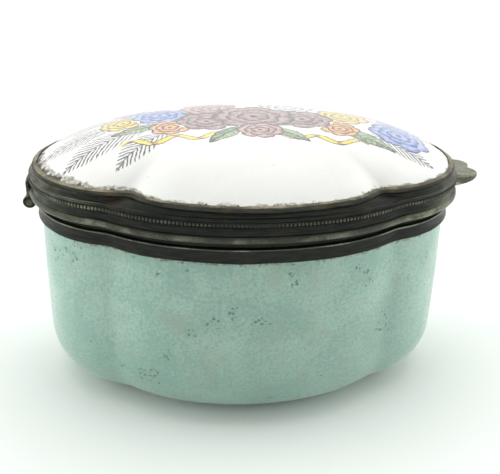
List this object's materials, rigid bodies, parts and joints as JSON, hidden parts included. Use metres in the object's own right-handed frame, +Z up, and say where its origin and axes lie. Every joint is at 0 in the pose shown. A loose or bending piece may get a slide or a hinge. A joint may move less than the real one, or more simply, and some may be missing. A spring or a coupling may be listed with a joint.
{
  "type": "snuff box",
  "caption": "Enamelled box of lobed oval plan with a rounded foot, a domed painted lid, dark moulded metal mounts, an end hinge and a two-lobed thumbpiece.",
  "frame": {"origin": "middle of the flat underside that the box stands on", "axes": "+X from the hinge to the thumbpiece along the box's length, +Z up, +Y to the back"},
  "size_m": [0.0766, 0.0486, 0.0448],
  "materials": {
    "turquoise_enamel": "mottled satin turquoise enamel",
    "painted_white_enamel": "glossy white enamel with a painted flower spray",
    "white_enamel": "plain glossy white counter-enamel",
    "copper_sheet": "oxidised copper, hidden between the enamels",
    "dark_mount_metal": "dark patinated copper alloy, worn on the mouldings",
    "worn_edge_metal": "thin rolled edge, tarnished and worn",
    "pin_wire": "drawn wire, dulled",
    "setting_plaster": "matt plaster bedding, hidden"
  },
  "bodies": {
    "cup": {"cup_outer_enamel": "turquoise_enamel", "cup_copper_core": "copper_sheet", "cup_inner_enamel": "white_enamel", "cup_bedding_ring": "setting_plaster", "cup_mount_band": "dark_mount_metal", "cup_mount_lining": "dark_mount_metal", "cup_hinge_knuckle_1": "dark_mount_metal", "cup_hinge_knuckle_2": "dark_mount_metal", "cup_hinge_knuckle_3": "dark_mount_metal", "hinge_pin": "pin_wire"},
    "lid": {"lid_outer_enamel": "painted_white_enamel", "lid_copper_core": "copper_sheet", "lid_inner_enamel": "white_enamel", "lid_bedding_ring": "setting_plaster", "lid_mount_frame": "dark_mount_metal", "lid_mount_lining": "dark_mount_metal", "lid_milled_wire": "dark_mount_metal", "lid_setting_edge": "worn_edge_metal", "lid_thumbpiece": "dark_mount_metal", "lid_hinge_strap": "dark_mount_metal", "lid_hinge_knuckle_1": "dark_mount_metal", "lid_hinge_knuckle_2": "dark_mount_metal"}
  },
  "joints": [
    {"name": "lid_hinge", "type": "hinge", "parent": "cup", "child": "lid", "pos_m": [-0.03579, 0, 0.0322], "axis": [0, -1, 0], "range_deg": [0, 105]}
  ]
}
